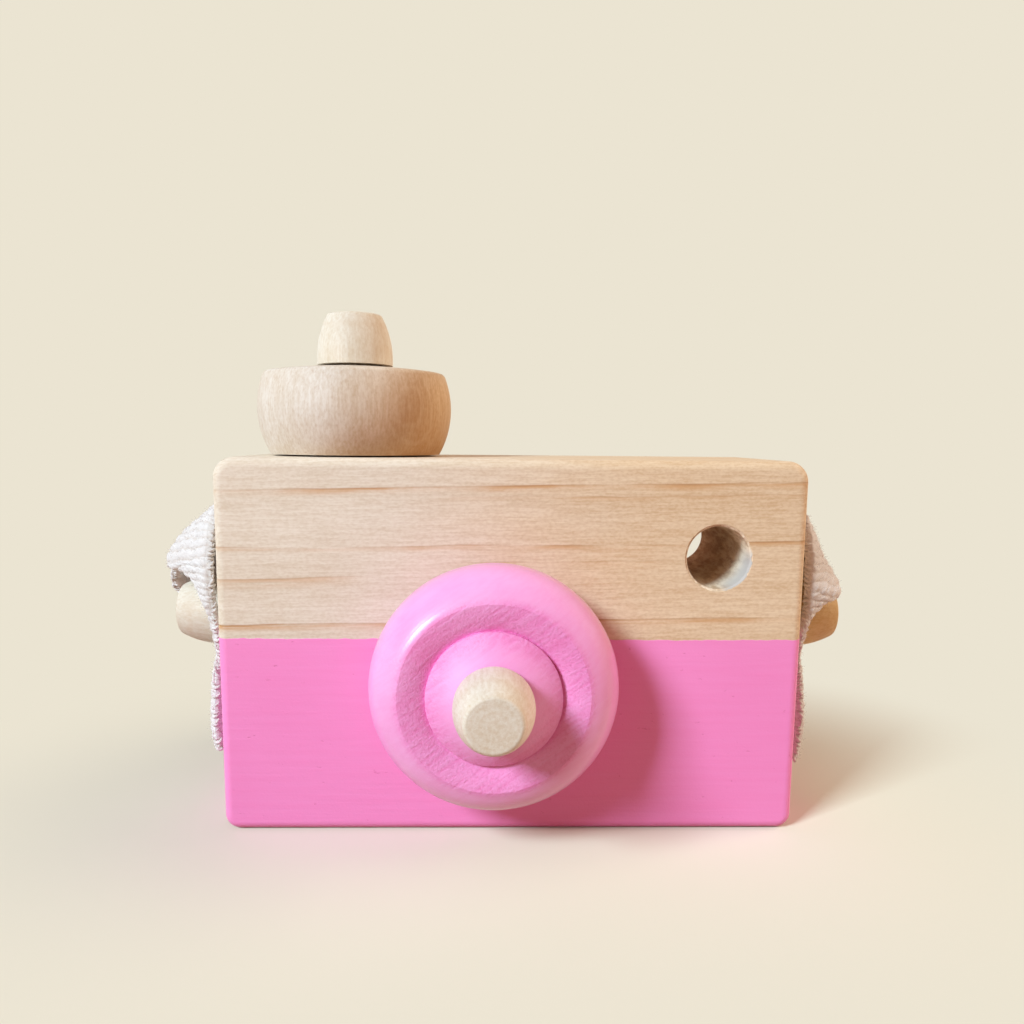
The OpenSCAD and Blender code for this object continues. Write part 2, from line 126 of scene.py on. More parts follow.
class Tree:
    """A node tree under construction."""

    def __init__(self, tree):
        self.tree = tree

    def add(self, kind, settings=None, sockets=None, out=0):
        node = self.tree.nodes.new(kind)
        for key, value in (settings or {}).items():
            setattr(node, key, value)
        for key, value in (sockets or {}).items():
            if isinstance(value, Wire):
                self.tree.links.new(value.socket, node.inputs[key])
            else:
                node.inputs[key].default_value = value
        return Wire(self, node.outputs[out])


print("node kit ready")


# %% Material kit
class Finish(Tree):
    """A material: its shader's constants are given by name, and wires feed the sockets that vary."""

    def __init__(self, name, **constants):
        self.material = bpy.data.materials.new(name)
        self.material.use_nodes = True
        super().__init__(self.material.node_tree)
        self.shader = self.tree.nodes["Principled BSDF"]
        for socket, value in constants.items():
            self.shader.inputs[socket.replace("_", " ")].default_value = value

    def coords(self, which="Object"):
        return self.add("ShaderNodeTexCoord", out=which)

    def mapped(self, vector, scale=(1, 1, 1), location=(0, 0, 0), rotation=(0, 0, 0)):
        return self.add("ShaderNodeMapping", {}, {"Vector": vector, "Scale": scale, "Location": location,
                                                  "Rotation": rotation})

    def centred(self, centre, scale=(1, 1, 1)):
        """Object coordinates, counted from a centre on the piece."""
        return self.mapped(self.coords(), scale, tuple(-c for c in centre))

    def noise(self, vector, scale, detail=4.0, roughness=0.55, distortion=0.0):
        return self.add("ShaderNodeTexNoise", {}, {"Vector": vector, "Scale": scale, "Detail": detail,
                                                   "Roughness": roughness, "Distortion": distortion})

    def axis(self, vector, which):
        return self.add("ShaderNodeSeparateXYZ", {}, {0: vector}, out=which)

    def length(self, vector):
        return self.add("ShaderNodeVectorMath", {"operation": "LENGTH"}, {0: vector}, out="Value")

    def range(self, value, lo, hi):
        """A soft step from 0 at lo to 1 at hi."""
        return self.add("ShaderNodeMapRange", {"interpolation_type": "SMOOTHSTEP"},
                        {"Value": value, "From Min": lo, "From Max": hi})

    def mix(self, factor, a, b):
        return self.add("ShaderNodeMix", {"data_type": "RGBA"}, {0: factor, 6: a, 7: b}, out=2)

    def bump(self, height, distance, strength):
        return self.add("ShaderNodeBump", {}, {"Height": height, "Distance": distance, "Strength": strength})

    def feed(self, **wires):
        for socket, value in wires.items():
            self.tree.links.new(value.socket, self.shader.inputs[socket.replace("_", " ")])
        return self.material


def srgb(r, g, b):
    """A colour on the picture's 0 to 255 scale, as the linear colour that a shader wants."""
    def one(c):
        c /= 255
        return c / 12.92 if c <= 0.04045 else ((c + 0.055) / 1.055) ** 2.4
    return one(r), one(g), one(b), 1.0


def dress(name, material):
    nodes[name].data.materials.clear()
    nodes[name].data.materials.append(material)


print("material kit ready")


# %% Geometry patterns
class Pattern(Tree):
    """A Geometry Nodes tree with named sizes. It ends in real mesh with one finish."""

    def __init__(self, name, *sizes):
        super().__init__(bpy.data.node_groups.new(name, "GeometryNodeTree"))
        ports = self.tree.interface
        ports.new_socket("Geometry", in_out="INPUT", socket_type="NodeSocketGeometry")
        ports.new_socket("Geometry", in_out="OUTPUT", socket_type="NodeSocketGeometry")
        self.ids = {size: ports.new_socket(size, in_out="INPUT", socket_type="NodeSocketFloat").identifier
                    for size in sizes}
        self.entry = self.tree.nodes.new("NodeGroupInput")

    def given(self, name):
        return Wire(self, self.entry.outputs[name])

    def tipped(self, rotation, angles):
        """A rotation, tipped further about its own axes."""
        more = self.add("FunctionNodeEulerToRotation", {}, {0: angles})
        return self.add("FunctionNodeRotateRotation", {"rotation_space": "LOCAL"},
                        {"Rotation": rotation, "Rotate By": more})

    def swept(self, curve, corners, radius, caps=False):
        """A yarn: a round section swept along a curve."""
        section = self.add("GeometryNodeCurvePrimitiveCircle", {}, {"Resolution": corners, "Radius": radius})
        return self.add("GeometryNodeCurveToMesh", {}, {"Curve": curve, "Profile Curve": section, "Fill Caps": caps})

    def close(self, geometry, material):
        real = self.add("GeometryNodeRealizeInstances", {}, {0: geometry})
        done = self.add("GeometryNodeSetMaterial", {}, {"Geometry": real, "Material": material})
        self.tree.links.new(done.socket, self.tree.nodes.new("NodeGroupOutput").inputs[0])

    def make(self, name, mesh, **sizes):
        """Run the tree on a mesh and keep the result as a plain mesh object."""
        obj = bpy.data.objects.new(name, mesh)
        bpy.context.scene.collection.objects.link(obj)
        modifier = obj.modifiers.new(name, "NODES")
        modifier.node_group = self.tree
        for size, value in sizes.items():
            modifier[self.ids[size]] = value
        ready = obj.evaluated_get(bpy.context.evaluated_depsgraph_get())
        result = bpy.data.meshes.new_from_object(ready)
        obj.modifiers.remove(modifier)
        obj.data = result
        result.polygons.foreach_set("use_smooth", np.ones(len(result.polygons), bool))
        print(f"{name}: {len(result.polygons)} faces")
        return obj


def polylines(name, lines):
    """Loose edges through lists of points, in metres."""
    mesh = bpy.data.meshes.new(name)
    points, edges = [], []
    for line in lines:
        edges += [(len(points) + i, len(points) + i + 1) for i in range(len(line) - 1)]
        points += [tuple(p) for p in line]
    mesh.from_pydata(points, edges, [])
    return mesh


print("geometry kit ready")

# %% [markdown]
# ## The strap's route
# The strap is one crocheted band. Near each end it has a slit, and a side peg's head pokes through it: below the peg
# the band hangs flat on the block's side, and above it the slit's end is pulled out over the head like a hood. Behind
# the block the spare length lies in a tied hank. The rows are close to those of the part's source. Each one gives the
# band's front edge, the slit's two lips and the rear edge, as out from the block's side, back from its middle and up
# from the peg.

# %% Rows of the two ends
BLOCK_W, BLOCK_D, PEG_Z = 100, 34, 36
BAND_W, BAND_T, LIP = 14, 2.0, 0.5
LEFT_DROP, RIGHT_DROP = 24.4, 26.6


def level_row(out, up, half, sag):
    return [[out, -half, up], [out, -LIP, up - sag], [out, LIP, up - sag], [out, half, up]]


def tail(drop):
    return [level_row(3.4, -drop, 7.8, 0.8), level_row(3.8, -20, 8.5, 0), level_row(3.2, -11, 8.5, 0)]


left_hood = [
    [[1.8, -10.4, -6], [1.3, -3.8, -6], [1.3, 3.8, -6], [1.8, 10.4, -6]],
    [[1.9, -12, -1.4], [1.3, -6.2, -1.8], [1.3, 6.2, -3], [1.8, 12, -1.4]],
    [[1.9, -12.6, 2.6], [3.8, -8.8, 3.0], [6.6, 8.4, -2.4], [1.8, 12.6, 2.4]],
    [[2.0, -12.5, 5.8], [6.2, -7.6, 7.2], [13.0, 8.0, -0.6], [2.0, 12.6, 5.4]],
    [[2.1, -12.2, 8.8], [9.8, -4.6, 8.8], [15.0, 5.2, 3.4], [2.4, 12.4, 8.0]],
    [[2.2, -11.8, 10.9], [13.0, -1.0, 8.4], [13.4, 0.6, 8.0], [3.0, 11.8, 10.2]],
    [[2.2, -11.2, 12.8], [12.9, -0.6, 10.2], [13.1, 0.6, 10.0], [3.4, 10.8, 11.4]],
    [[2.2, -10.4, 14.8], [11.8, -0.5, 12.2], [11.9, 0.5, 12.0], [3.6, 10.2, 12.2]],
    [[2.2, -9.0, 17.0], [9.6, 0, 14.6], [9.6, 1, 14.4], [3.6, 9.8, 12.6]],
    [[2.2, -5.4, 19.8], [6.3, 2.4, 16.8], [6.3, 3.2, 16.4], [3.4, 9.9, 12.0]],
    [[2.2, 1.4, 21.8], [3.6, 5.8, 17.0], [3.6, 6.4, 16.2], [3.0, 10.9, 10.7]],
    [[2.2, 9.4, 22], [2.6, 11.2, 16.2], [2.6, 11.6, 15.4], [2.6, 13.4, 9.2]],
    [[2.0, 15.4, 20], [2.1, 15.8, 14.0], [2.1, 15.9, 13.2], [2.1, 16.4, 7]]]
right_hood = [
    [[1.8, -10.4, -6], [1.3, -3.8, -6], [1.3, 3.8, -6], [1.8, 10.4, -6]],
    [[1.9, -12, -2.4], [1.3, -6.2, -2.8], [1.3, 6.2, -2.4], [1.8, 12, -2]],
    [[1.9, -12.6, 1.2], [3.6, -8.8, 1.4], [4.6, 8.2, 1], [1.8, 12.6, 2]],
    [[2.0, -12.6, 4.4], [6.8, -8.6, 4.1], [8.0, 7.8, 4], [2.0, 12.6, 5]],
    [[2.0, -12.5, 7.2], [10.0, -6.6, 4.7], [11.0, 5.4, 6.2], [2.2, 12.4, 7.6]],
    [[2.1, -12.3, 9.6], [10.2, -2.6, 7.2], [10.3, -1.2, 7.4], [2.4, 12.0, 9.6]],
    [[2.2, -11.9, 11.8], [8.4, -1.8, 9.8], [8.5, -0.6, 10.0], [2.8, 11.4, 11.2]],
    [[2.2, -11.2, 14.0], [7.0, -1.0, 12.4], [7.0, 0.2, 12.4], [3.0, 10.8, 12.2]],
    [[2.2, -10, 16.4], [6.0, 0, 14.8], [6.0, 1, 14.6], [3.2, 10.2, 12.6]],
    [[2.2, -7.2, 19.2], [4.8, 2.4, 16.6], [4.8, 3.2, 16.2], [3.2, 9.9, 12.2]],
    [[2.2, 1.0, 21.6], [3.5, 5.8, 16.6], [3.5, 6.4, 15.8], [3.0, 10.2, 10.4]],
    [[2.3, 10.4, 20.4], [2.7, 10.6, 14.2], [2.7, 10.6, 13.4], [2.7, 10.8, 7.2]],
    [[2.2, 16.6, 16.4], [2.4, 14.0, 10.6], [2.4, 13.7, 9.9], [2.5, 11.2, 4]],
    [[-1.4, 20.2, 11.2], [1.6, 18.4, 4.9], [1.9, 18.0, 4.2], [2.5, 14.8, -1.2]]]
SLIT_FIRST, SLIT_LAST = 2, 8
hood_bulge = [0, 0, 0, 0, 0, 0.2, 0.4, 0.5, 0.6, 0.7, 0.7, 0.6, 0.4]


def placed(row, side):
    return [[side * (BLOCK_W / 2 + out), back, PEG_Z + height] for out, back, height in row]


print(f"hood rows: {len(left_hood)} left, {len(right_hood)} right")

# %% [markdown]
# Behind the block two leads run down to the hank. Their points are the band's middle and its slope. The hank itself
# is a formula: straight runs with half-round turns at both ends, drawn in at the waist where the tie sits. The band
# stands on edge there, so each of its rows is an upright line.

# %% Rows of the leads and the hank
left_lead = [[-50.4, 3.0, 47.6, 8], [-45, 4.0, 45.8, 22], [-37.5, 3.4, 41.6, 32], [-28, 2.4, 35, 36],
             [-18, 1.9, 27.6, 36], [-8.5, 1.8, 20.8, 34], [-0.5, 1.8, 14.6, 30], [6.5, 1.8, 10.4, 20],
             [13, 1.8, 8.6, 0]]
right_lead = [[46.4, 3.8, 33.6, 50], [41.2, 4.6, 28.4, 42], [34.8, 4.8, 24.8, 20], [28, 4.8, 23.5, 4],
              [22, 4.8, 23.4, 0]]
ACROSS = (BAND_W / 2, LIP, -LIP, -BAND_W / 2)
RUNS, WAIST = [13.2, 9.6, 5.4, 7.8, 10.2], [13.2, 4.6, 3.6, 4.6, 7.4]
HALF, LOW, HIGH = 20, 8.6, 23.4
HANK_Y = BLOCK_D / 2 + 15
CLIMB_RUN = 2
RUN_STEPS, TURN_STEPS = 6, 8


def lead_row(point, side):
    x, back, z, slope = point
    tilt = np.array([-side * math.sin(math.radians(slope)), 0, math.cos(math.radians(slope))])
    return [list(np.array([x, BLOCK_D / 2 + back, z]) + s * tilt) for s in ACROSS]


def ease(t):
    return t * t * (3 - 2 * t)


def hank_turn(k):
    end = 1 if k % 2 == 0 else -1
    for i in range(TURN_STEPS):
        a, r = math.pi * i / TURN_STEPS, RUNS[k] + (RUNS[k + 1] - RUNS[k]) * i / TURN_STEPS
        yield end * (HALF + r * math.sin(a)), HANK_Y - end * r * math.cos(a), LOW if k < CLIMB_RUN else HIGH


def hank_run(k):
    way = 1 if k % 2 == 0 else -1
    for i in range(RUN_STEPS):
        t = 2 * i / RUN_STEPS - 1
        off = WAIST[k] + (RUNS[k] - WAIST[k]) * ease(abs(t))
        climb = 0 if k < CLIMB_RUN else 1 if k > CLIMB_RUN else ease(i / RUN_STEPS)
        yield way * t * HALF, HANK_Y - way * off, LOW + (HIGH - LOW) * climb


hank = [p for k in range(len(RUNS) - 1) for p in (*hank_turn(k), *hank_run(k + 1))]
left_rows = [placed(r, -1) for r in tail(LEFT_DROP) + left_hood]
right_rows = [placed(r, 1) for r in tail(RIGHT_DROP) + right_hood][::-1]
band_rows = ([lead_row(p, -1) for p in left_lead] + [[[x, y, z + s] for s in ACROSS] for x, y, z in hank]
             + [lead_row(p, 1) for p in right_lead[::-1]])
rows = np.array(left_rows + band_rows + right_rows, float)
fullness = np.zeros(len(rows))
fullness[:len(hood_bulge)] = hood_bulge
fullness[-len(hood_bulge):] = hood_bulge[::-1]
print(f"strap: {len(rows)} rows")

# %% [markdown]
# ## Crochet
# Crochet could be a bump on a flat ribbon, but then its outline stays smooth and the light finds no rows to catch. So
# the stitches are real relief on a fine grid. Each row is a round ridge across the band, and the strands on it lean one
# way and then the other from row to row. Both faces meet in round edges, and so do the lips of the slit.

# %% A smooth grid through the rows
ROW_ABOUT = 1.75
DENSE = 24


def smooth_rows(values):
    ends = np.concatenate([[2 * values[0] - values[1]], values, [2 * values[-1] - values[-2]]])
    fine = []
    for p0, p1, p2, p3 in zip(ends, ends[1:], ends[2:], ends[3:]):
        for t in np.arange(DENSE) / DENSE:
            fine.append(0.5 * (2 * p1 + (p2 - p0) * t + (2 * p0 - 5 * p1 + 4 * p2 - p3) * t ** 2
                               + (3 * p1 - p0 - 3 * p2 + p3) * t ** 3))
    return np.array(fine + [values[-1]])


def unit(v):
    return v / np.maximum(np.linalg.norm(v, axis=-1, keepdims=True), 1e-9)


dense = smooth_rows(rows)
row_number = np.arange(len(dense)) / DENSE
dense_full = np.interp(row_number, np.arange(len(rows)), fullness)
run = np.concatenate([[0], np.cumsum(np.linalg.norm(np.diff(dense[:, 1:3].mean(1), axis=0), axis=1))])
ROW_PITCH = run[-1] / round(run[-1] / ROW_ABOUT)
from_end = np.minimum(row_number, len(rows) - 1 - row_number)
print(f"strap: {run[-1]:.0f} mm along its middle, crochet rows every {ROW_PITCH:.3f} mm")


# %% The middle surface of a stretch
def half_band(grid, full, across_step, edge, lip):
    """One half of the band, from its edge to its lip, on a bowed line through the half's full middle."""
    way = 1 if edge == 0 else -1
    along = np.gradient(grid[:, edge] + grid[:, lip], axis=0)
    normal = unit(np.cross(along, way * (grid[:, lip] - grid[:, edge])))
    middle = (grid[:, edge] + grid[:, lip]) / 2 + normal * full[:, None]
    width = np.linalg.norm(grid[:, lip] - grid[:, edge], axis=1)
    v = np.linspace(0, 1, round(BAND_W / 2 / across_step) + 1)
    t = v[None, :, None]
    curve = (grid[:, None, edge] * (1 - t) * (1 - 2 * t) + middle[:, None] * 4 * t * (1 - t)
             + grid[:, None, lip] * t * (2 * t - 1))
    return curve, width[:, None] * v, width[:, None] * (1 - v)


def stretch(lo, hi, step, across_step):
    """The band's middle surface between two places along it."""
    s = np.linspace(lo, hi, round((hi - lo) / step) + 1)
    grid = np.stack([[np.interp(s, run, dense[:, j, k]) for k in range(3)] for j in range(4)]).transpose(2, 0, 1)
    place = np.interp(s, run, from_end)
    opened = (place > SLIT_FIRST) & (place < SLIT_LAST)
    full = np.interp(s, run, dense_full)
    front, rear = (half_band(grid, full, across_step, edge, lip) for edge, lip in ((0, 1), (3, 2)))
    middle, from_edge, from_lip = (np.concatenate([a, b[:, ::-1]], 1) for a, b in zip(front, rear))
    n = front[0].shape[1]
    split = np.concatenate([np.gradient(middle[:, :n], axis=1), np.gradient(middle[:, n:], axis=1)], 1)
    across = np.where(opened[:, None, None], split, np.gradient(middle, axis=1))
    facing = unit(np.cross(np.gradient(middle, axis=0), across))
    return dict(s=s, middle=middle, facing=facing, from_edge=from_edge, from_lip=from_lip, opened=opened, half=n)


print("band: middle surface ready")

# %% [markdown]
# The relief is a formula of two lengths: along the band, which counts the rows, and across it, which counts the
# stitches. A stitch is a small slanted grain of yarn, set half a step over from row to row. The hollows between them
# are kept as an attribute, so that the yarn's finish can shade them. As in handwork, the rows wander a little.

# %% Relief
STITCH, LEAN = 1.15, 0.55
RIDGE, GRAIN_H = 0.16, 0.30
ROUND = 0.9


def hump(t):
    return np.sqrt(np.clip(1 - (2 * t - 1) ** 2, 0, 1))


def crochet(s, u):
    """Height of the yarn above the ground of the crochet, from 0 to RIDGE + GRAIN_H."""
    count = s[:, None] / ROW_PITCH
    wander = 0.10 * np.sin(u * 0.9 + 0.13 * s[:, None]) + 0.06 * np.sin(u * 2.3 - 0.4 * s[:, None])
    place = count + wander * np.sin(math.pi * np.clip(count, 0, 0.5))
    number = np.floor(place + 1e-6)
    t = place - number
    slant = np.where(number % 2 == 0, 1, -1) * (t - 0.5) * LEAN
    stitch = u / STITCH + 0.5 * (number % 2) + slant + 0.25 * np.sin(number * 2.4)
    cell = stitch - np.floor(stitch)
    swell = 0.75 + 0.25 * np.sin(np.floor(stitch) * 4.1 + number * 2.7)
    return RIDGE * hump(t) + GRAIN_H * hump(t) * hump(cell) * swell


def rounded(distance):
    return np.sqrt(np.clip(1 - (1 - np.clip(distance / ROUND, 0, 1)) ** 2, 0, 1))


print(f"crochet: stitches every {STITCH} mm, up to {RIDGE + GRAIN_H:.2f} mm high")

# %% [markdown]
# Each stretch of the band is one closed skin. The middle surface is pushed out to both sides by the same heights, and
# quads along the open borders join the two faces. Where the slit is open, one column of quads is left out.

# %% Closed mesh
def border_walls(quads, under):
    """Quads that close the open borders between the upper and the lower face."""
    edges = np.concatenate([quads[:, [i, (i + 1) % 4]] for i in range(4)])
    seen = set(map(tuple, edges.tolist()))
    return np.array([(b, a, a + under, b + under) for a, b in seen if (b, a) not in seen])


def yarn_mesh(name, vertices, faces, yarn_uv, hollow, material):
    mesh = bpy.data.meshes.new(name)
    mesh.from_pydata(vertices.tolist(), [], faces.tolist())
    corner = np.empty(len(mesh.loops), int)
    mesh.loops.foreach_get("vertex_index", corner)
    mesh.uv_layers.new(name="yarn").data.foreach_set("uv", yarn_uv[corner].astype(np.float32).ravel())
    mesh.attributes.new("hollow", "FLOAT", "POINT").data.foreach_set("value", hollow.astype(np.float32))
    mesh.polygons.foreach_set("use_smooth", np.ones(len(mesh.polygons), bool))
    mesh.materials.append(material)
    mesh.update()
    obj = bpy.data.objects.new(name, mesh)
    bpy.context.scene.collection.objects.link(obj)
    return obj


def crocheted(name, lo, hi, step, across_step, material):
    """A crocheted stretch of the band as a closed mesh, and its middle line."""
    b = stretch(lo, hi, step, across_step)
    m, n = b["middle"].shape[:2]
    side = np.where(np.arange(n) < b["half"], -1, 1)
    u = side * (b["from_lip"] + LIP)
    rim = np.minimum(rounded(b["from_edge"]), np.where(b["opened"][:, None], rounded(b["from_lip"]), 1))
    yarn = crochet(b["s"], u)
    lift = (BAND_T / 2 - RIDGE - GRAIN_H / 2 + yarn) * rim
    faces_out = b["facing"] * lift[..., None]
    vertices = np.concatenate([(b["middle"] + faces_out).reshape(-1, 3), (b["middle"] - faces_out).reshape(-1, 3)])
    index, keep = np.arange(m * n).reshape(m, n), np.ones((m - 1, n - 1), bool)
    keep[b["opened"][:-1] & b["opened"][1:], b["half"] - 1] = False
    top = np.stack([c[keep] for c in (index[:-1, :-1], index[1:, :-1], index[1:, 1:], index[:-1, 1:])], 1)
    faces = np.concatenate([top, top[:, ::-1] + m * n, border_walls(top, m * n)])
    flat = np.stack([np.broadcast_to(b["s"][:, None], (m, n)), u], -1).reshape(-1, 2)
    hollow = np.clip(1 - yarn / (RIDGE + GRAIN_H), 0, 1).ravel()
    uv, hollows = np.concatenate([flat, flat]), np.concatenate([hollow, hollow])
    obj = yarn_mesh(name, vertices * MM, faces, uv, hollows, material)
    print(f"{name}: {len(faces)} quads, {hi - lo:.1f} mm")
    return obj, b["middle"][:, b["half"] - 1:b["half"] + 1].mean(1)


print("closed mesh ready")

# %% [markdown]
# ## Cotton
# The stitches are in the mesh, so the yarn's finish only adds what is finer: the twist of the plies as slanted
# hairlines, a dull uneven white, and painted shade, darker and warmer, down in the hollows.

# %% Cotton finish
DULL_YARN, LIGHT_YARN, HOLLOW_SHADE = srgb(217, 213, 210), srgb(234, 232, 231), srgb(190, 173, 158)


def cotton(name, woven):
    f = Finish(name, Roughness=0.92, Sheen_Weight=0.25, Sheen_Roughness=0.6, Specular_IOR_Level=0.2)
    fluff = f.noise(f.coords(), 2100.0, 3.0, 0.6)
    if woven:
        uv = f.coords("UV")
        plies = f.noise(f.mapped(uv, (2.4, 0.9, 1), rotation=(0, 0, math.radians(32))), 2.6, 3.0, 0.6)
        hollow = f.add("ShaderNodeAttribute", {"attribute_name": "hollow"}, out="Fac")
        shade = f.range(hollow, 0.35, 1.0)
    else:
        plies = f.noise(f.coords(), 1300.0, 2.0)
        shade = f.range(plies, 0.62, 0.3) * 0.4
    tone = f.range(plies, 0.3, 0.7) * 0.5 + f.range(fluff, 0.3, 0.7) * 0.5
    colour = f.mix(tone, DULL_YARN, LIGHT_YARN)
    # painted shade: the hollows of the stitches, and on the hem the low places of the plies, are darkened towards a
    # warm brownish white
    colour = f.mix(shade * 0.6, colour, HOLLOW_SHADE)
    return f.feed(Base_Color=colour, Normal=f.bump(plies * 0.6 + fluff * 0.6, 0.2 * MM, 0.7))


FINE, COARSE = (0.2, 0.2), (0.32, 0.45)
band_cotton, hem_cotton = cotton("crochet_cotton", True), cotton("hem_cotton", False)
left_cut, right_cut = (ROW_PITCH * round(c / ROW_PITCH) for c in np.interp(
    [len(left_rows) - 2, len(rows) - len(right_rows) + 1], row_number, run))
loop_left, _ = crocheted("strap_loop_left", 0, left_cut, *FINE, band_cotton)
loop_right, _ = crocheted("strap_loop_right", right_cut, run[-1], *FINE, band_cotton)
band, band_line = crocheted("strap_band", left_cut, right_cut, *COARSE, band_cotton)

# %% [markdown]
# ## Hems
# A crocheted edge is a row of small loops, which makes it thicker than the band and bumpy. It repeats along a path, so
# Geometry Nodes make it: the edges become curves, points are set along them, and a ring of yarn on each point goes
# round the edge on a slant.

# %% Hem along the edges and lips
EDGE_INSET, LIP_INSET = 0.55, 0.35


def edge_line(edge, lip, inset, first=0, last=None):
    a, b = dense[first:last, edge], dense[first:last, lip]
    return (a + unit(b - a) * inset) * MM


def hem_pattern():
    g = Pattern("yarn_hem", "Pitch", "Ring", "Yarn", "Slant")
    curve = g.add("GeometryNodeMeshToCurve", {}, {"Mesh": g.given("Geometry")})
    points = g.add("GeometryNodeCurveToPoints", {"mode": "LENGTH"}, {"Curve": curve, "Length": g.given("Pitch")})
    tangent = Wire(g, points.socket.node.outputs["Tangent"])
    wobble = g.add("FunctionNodeRandomValue", {"data_type": "FLOAT_VECTOR"},
                   {0: (-0.5, -0.5, 0.0), 1: (0.5, 0.5, 6.28), "Seed": 4})
    along = g.add("FunctionNodeAlignRotationToVector", {"axis": "Z"}, {"Vector": tangent})
    slanted = g.tipped(along, g.add("ShaderNodeCombineXYZ", {}, {0: g.given("Slant")}))
    turned = g.tipped(slanted, wobble)
    ring = g.add("GeometryNodeCurvePrimitiveCircle", {}, {"Resolution": 8, "Radius": g.given("Ring")})
    loop = g.swept(ring, 5, g.given("Yarn"))
    swell = g.add("FunctionNodeRandomValue", {"data_type": "FLOAT"}, {2: 0.88, 3: 1.14, "Seed": 9}, out=1)
    g.close(g.add("GeometryNodeInstanceOnPoints", {}, {
        "Points": points, "Instance": loop, "Rotation": turned, "Scale": swell}), hem_cotton)
    return g


slits = [(SLIT_FIRST * DENSE, SLIT_LAST * DENSE + 1),
         (len(dense) - 1 - SLIT_LAST * DENSE, len(dense) - SLIT_FIRST * DENSE)]
edges = [edge_line(0, 1, EDGE_INSET), edge_line(3, 2, EDGE_INSET)]
lips = [edge_line(lip, edge, LIP_INSET, *slit) for slit in slits for lip, edge in ((1, 0), (2, 3))]
hem = hem_pattern().make("strap_hem", polylines("hem_lines", edges + lips), Pitch=0.8 * MM, Ring=0.62 * MM,
                         Yarn=0.28 * MM, Slant=0.8)

# %% [markdown]
# ## Fuzz
# Cotton yarn is never smooth: short loose fibres stand off it and soften the outline. Geometry Nodes scatter them on
# the two loops, which the photograph shows. Each is a thin bent hair with its own lean, and it is mostly clear,
# because a real fibre is much finer than a hair that can be modelled.

# %% Loose fibres
def fuzz_pattern():
    g = Pattern("loose_fibres", "Density", "Length", "Hair")
    points = g.add("GeometryNodeDistributePointsOnFaces", {}, {
        "Mesh": g.given("Geometry"), "Density": g.given("Density"), "Seed": 11})
    normal = Wire(g, points.socket.node.outputs["Normal"])
    lean = g.add("FunctionNodeRandomValue", {"data_type": "FLOAT_VECTOR"},
                 {0: (-1.1, -1.1, 0.0), 1: (1.1, 1.1, 6.28), "Seed": 5})
    upright = g.add("FunctionNodeAlignRotationToVector", {"axis": "Z"}, {"Vector": normal})
    turned = g.tipped(upright, lean)
    tip = g.add("ShaderNodeCombineXYZ", {}, {0: g.given("Length") * 0.6, 2: g.given("Length")})
    bend = g.add("ShaderNodeCombineXYZ", {}, {2: g.given("Length") * 0.6})
    hair = g.add("GeometryNodeCurveQuadraticBezier", {}, {
        "Resolution": 3, "Start": (0, 0, 0), "Middle": bend, "End": tip})
    fibre = g.swept(hair, 3, g.given("Hair"))
    size = g.add("FunctionNodeRandomValue", {"data_type": "FLOAT"}, {2: 0.4, 3: 1.2, "Seed": 8}, out=1)
    g.close(g.add("GeometryNodeInstanceOnPoints", {}, {
        "Points": points, "Instance": fibre, "Rotation": turned, "Scale": size}), fibre_cotton)
    return g


fibre_cotton = Finish("loose_fibre", Base_Color=srgb(246, 243, 238), Roughness=0.95, Alpha=0.28).material
fibres = fuzz_pattern()
fuzz = [fibres.make(f"strap_fuzz_{side}", loop.data, Density=2.4e6, Length=0.6 * MM, Hair=0.022 * MM)
        for side, loop in (("left", loop_left), ("right", loop_right))]

# %% [markdown]
# ## Tie
# A few turns of the same yarn hold the hank at its waist. One long helix round a rounded box is the path, and a
# swept circle is the yarn.

# %% Tie
TIE_TURNS, TIE_YARN = 5, 0.45
TIE_STEPS, TIE_LEAD, TIE_CORNER = 72, 2.1 * TIE_YARN, 0.28
TIE_ROOM_BACK, TIE_ROOM_UP = 0.7, 0.5


def tie_path():
    low, high = LOW - BAND_W / 2 - TIE_ROOM_UP, HIGH + BAND_W / 2 + TIE_ROOM_UP
    reach = BAND_T / 2 + TIE_ROOM_BACK
    front, back = HANK_Y - WAIST[-1] - reach, HANK_Y + WAIST[1] + reach
    for a in np.linspace(0, 2 * math.pi * TIE_TURNS, TIE_STEPS * TIE_TURNS + 1):
        c, s = math.cos(a), math.sin(a)
        y = (front + back) / 2 + (back - front) / 2 * math.copysign(abs(c) ** TIE_CORNER, c)
        z = (low + high) / 2 + (high - low) / 2 * math.copysign(abs(s) ** TIE_CORNER, s)
        yield (a / (2 * math.pi) - TIE_TURNS / 2) * TIE_LEAD * MM, y * MM, z * MM


def winding_pattern():
    g = Pattern("wound_yarn", "Yarn")
    curve = g.add("GeometryNodeMeshToCurve", {}, {"Mesh": g.given("Geometry")})
    g.close(g.swept(curve, 8, g.given("Yarn"), caps=True), hem_cotton)
    return g


tie = winding_pattern().make("strap_winding", polylines("winding_line", [list(tie_path())]), Yarn=TIE_YARN * MM)

# %% [markdown]
# ## What the strap is
# The loops, the band and the tie stand for the plain CAD solids, which stay in the model for collision. All of it rides
# on the block.

for piece in (loop_left, loop_right, band, hem, tie, *fuzz):
    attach(piece, "camera")
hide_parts("strap_end_left")
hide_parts("strap_end_right")
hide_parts("strap_hank", "strap_end_left", "strap_end_right")
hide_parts("strap_tie")

# %% [markdown]
# ## Natural wood
# The wood is pale and close-grained. Three things make it: a soft unevenness, very fine fibre and specks along the
# grain, and a few growth lines, each dark and sharp on one side and fading on the other. Noise that is stretched along
# the grain gives the first two. The growth lines are given one by one, and noise makes them wander and come and go.

# %% Natural wood
GROWTH_BAND, GROWTH_EDGE = srgb(204, 152, 98), srgb(164, 116, 74)
LINE_WANDER, LINE_END = 1.6, 6


